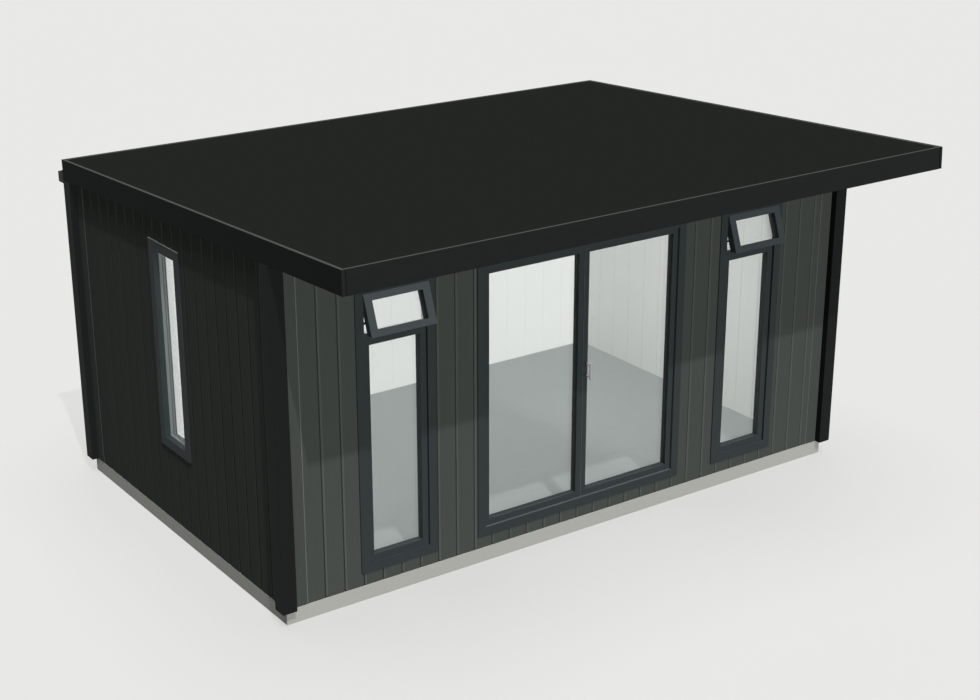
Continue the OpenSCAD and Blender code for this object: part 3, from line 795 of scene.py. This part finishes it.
# Front windows with their open top lights
# Coated frames with a fixed pane below and a top-hung sash above, held open by a stay at each side.
# The same bars, seals and glass as the doors, but coated white towards the room.
# Copies of one coat: the sashes are lighter than the frames as painted light, the right one less so as
# painted shade.
sash_light_and_shade_tones = {
    "left": (srgb(76, 83, 85), srgb(80, 87, 89)),
    "right": (srgb(63, 70, 72), srgb(67, 74, 76)),
}
white_depth, top_light_foot = 0.03, 1.85
for side in ("left", "right"):
    frame_node, sash_node = f"{side}_window_frame", f"{side}_window_sash"
    window_bars = ease(cast(frame_node, f"{side}_window_bars"), bar_arris)
    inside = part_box(frame_node)[0].y + white_depth
    score(window_bars, (0, inside, 0), (0, 1, 0))
    two_coats(window_bars, grey_coat, white_panel, lambda centre, normal: normal.y > square_on
              or (centre.y > inside and centre.z > top_light_foot))
    place(window_bars, None, [frame_node])
    sash_coat_painted_light = coat(f"sash_coat_painted_light_{side}", *sash_light_and_shade_tones[side],
                     rough=(0.38, 0.48), mark=0.0015, relief=0.00006, specular=0.02)
    sash = coat_with_rebate_shade(ease(cast(sash_node, f"{side}_top_light_bars"), bar_arris), sash_node, sash_coat_painted_light)
    place(sash, None, [sash_node])
    glaze(f"{side}_window", f"{side}_window_glass", "building", slim_bead_t, spacer_metal, grey_coat)
stays = ease(cast("window_stays", "top_light_stays"), width=0.0006, segments=1)
place(stays, grey_coat, ["window_stays"])


# Side window
# One narrow fixed window in the left wall, in coated bars a little darker than the others as painted shade,
# with a bead of pale sealant on top as a painted highlight.
# Its frame stands a little proud of the boards, and its inner half is grey: the room's white with painted
# shade.
# A darker copy of the frames' coat, as painted shade.
side_frame_painted_shade = coat("side_window_coat_painted_shade", srgb(45, 51, 52), srgb(49, 55, 56),
                 rough=(0.38, 0.48), mark=0.0015, relief=0.00006, specular=0.03)
# The room-side white as a grey, with painted shade, for the inner half, spacer, seal and bead.
grey_room_side_painted_shade = coat("grey_room_side_painted_shade", srgb(99, 104, 104), srgb(106, 111, 111),
                 rough=(0.4, 0.5), mark=0.003, relief=0.00005, specular=0.1)
pale_depth, deep_bead_t = 0.024, 0.0065
pale_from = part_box("side_window_glass")[0].x - pale_depth
side_bars = ease(cast("side_window_frame", "side_window_bars"), bar_arris)
score(side_bars, (pale_from, 0, 0), (1, 0, 0))
two_coats(side_bars, side_frame_painted_shade, grey_room_side_painted_shade, lambda centre, normal: centre.x > pale_from)
place(side_bars, None, ["side_window_frame"])
glaze("side_window", "side_window_glass", "building", deep_bead_t, grey_room_side_painted_shade, grey_room_side_painted_shade,
      turn=-pi / 2, seal_paint=grey_room_side_painted_shade)
side_low, side_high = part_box("side_window_frame")
top_bead_proud, top_bead_h, top_bead_arris = 0.0005, 0.004, 0.001
# A pale bead along the top as a painted highlight on the frame's upper edge.
top_highlight_bead = block("side_window_top_highlight_bead", (side_low.x - top_bead_proud, side_low.y, side_high.z),
                 (-half_x, side_high.y, side_high.z + top_bead_h))
place(ease(top_highlight_bead, top_bead_arris), pale_sealant)


# Studio
# A plain pale floor that runs past the view, a key lamp from the front left, a low front fill, a soft top
# panel, a lamp behind and an even sky. Three lamps inside stand for the daylight that fills the white room.
floor_near, floor_far = (-90, -60, -0.02), (90, 120, 0)
studio_floor = block("studio_floor", floor_near, floor_far)
pale, paper_tone, bounce = (0.805, 0.805, 0.79, 1), (0.47, 0.47, 0.46, 1), (0.05, 0.05, 0.05, 1)
glow_share, sky_light, sky_seen = 0.6, 0.12, 1.0
stage_paint = bpy.data.materials.new("studio_floor_paint")
stage_paint.use_nodes = True
stage_nodes, stage_links = stage_paint.node_tree.nodes, stage_paint.node_tree.links
stage_nodes.clear()


def seen_by_eye(nodes, links):
    """Is 1 for what the camera sees, also in a mirror or through glass."""
    path = nodes.new("ShaderNodeLightPath")
    seen = path.outputs["Is Camera Ray"]
    for ray in ("Is Glossy Ray", "Is Transmission Ray"):
        either = nodes.new("ShaderNodeMath")
        either.operation = "MAXIMUM"
        links.new(seen, either.inputs[0])
        links.new(path.outputs[ray], either.inputs[1])
        seen = either.outputs[0]
    return seen


def shader_mix(first, second):
    """Mixes two of the studio floor's shaders, and gives the mix's factor and result."""
    mix = stage_nodes.new("ShaderNodeMixShader")
    stage_links.new(first, mix.inputs[1])
    stage_links.new(second, mix.inputs[2])
    return mix.inputs["Fac"], mix.outputs[0]


shadowed = stage_nodes.new("ShaderNodeBsdfDiffuse")
shadowed.inputs["Color"].default_value = paper_tone
glow = stage_nodes.new("ShaderNodeEmission")
glow.inputs["Color"].default_value = pale
dim = stage_nodes.new("ShaderNodeBsdfDiffuse")
dim.inputs["Color"].default_value = bounce
paper_factor, paper = shader_mix(shadowed.outputs[0], glow.outputs[0])
paper_factor.default_value = glow_share
floor_factor, floor_look = shader_mix(dim.outputs[0], paper)
stage_links.new(seen_by_eye(stage_nodes, stage_links), floor_factor)
stage_end = stage_nodes.new("ShaderNodeOutputMaterial")
stage_links.new(floor_look, stage_end.inputs["Surface"])
studio_floor.data.materials.append(stage_paint)

world = bpy.data.worlds.new("even_sky")
world.use_nodes = True
sky_nodes, sky_links = world.node_tree.nodes, world.node_tree.links
sky = sky_nodes["Background"]
sky.inputs["Color"].default_value = pale
sky_level = sky_nodes.new("ShaderNodeMapRange")
sky_level.inputs["To Min"].default_value = sky_light
sky_level.inputs["To Max"].default_value = sky_seen
sky_links.new(seen_by_eye(sky_nodes, sky_links), sky_level.inputs["Value"])
sky_links.new(sky_level.outputs["Result"], sky.inputs["Strength"])
bpy.context.scene.world = world


def sun(name, travel, power, spread, shadow=True):
    """A lamp that shines the same way all over, its shadows as soft as its spread in degrees."""
    data = bpy.data.lights.new(name, "SUN")
    data.energy = power
    data.angle = radians(spread)
    data.use_shadow = shadow
    lamp = bpy.data.objects.new(name, data)
    lamp.rotation_euler = Vector(travel).to_track_quat("-Z", "Y").to_euler()
    bpy.context.scene.collection.objects.link(lamp)


sun("key_lamp", travel=(0.27, 1, -1.537), power=0.463 * pi, spread=1)
sun("front_fill", travel=(0.12, 1, -0.75), power=0.75 * pi, spread=20, shadow=False)
sun("top_panel", travel=(0.0, 0.05, -1), power=0.8 * pi, spread=50)
sun("rear_lamp", travel=(-0.75, -1, 0.0), power=0.62 * pi, spread=20)


def panel_lamp(name, spot, turn, size, power):
    """A soft lamp inside the room that itself stays out of sight."""
    data = bpy.data.lights.new(name, "AREA")
    data.shape = "RECTANGLE"
    data.size, data.size_y = size
    data.energy = power
    lamp = bpy.data.objects.new(name, data)
    lamp.location = spot
    lamp.rotation_euler = turn
    lamp.visible_camera = lamp.visible_glossy = lamp.visible_transmission = False
    bpy.context.scene.collection.objects.link(lamp)


panel_lamp("room_lamp_top", spot=(-0.45, -0.6, 2.25), turn=(0, 0, 0), size=(3.4, 1.3), power=12.8)
panel_lamp("room_lamp_right", spot=(0.7, -0.3, 1.3), turn=(0, -pi / 2, 0), size=(1.6, 1.8), power=8.6)
panel_lamp("room_lamp_left", spot=(-1.7, -1.0, 1.4), turn=(pi / 2, 0, radians(20)),
           size=(0.9, 1.6), power=6.5)

view = bpy.data.cameras.new("photo_camera")
view.sensor_width = 36
view.lens = 64.3
view.clip_end = 400
sight_line = Vector((0.5426, 0.7644, -0.3483))
camera = bpy.data.objects.new("photo_camera", view)
camera.location = (-7.1004, -10.3839, 5.5977)
camera.rotation_euler = sight_line.to_track_quat("-Z", "Y").to_euler()
bpy.context.scene.collection.objects.link(camera)
bpy.context.scene.camera = camera
bpy.context.scene.view_settings.view_transform = "Standard"
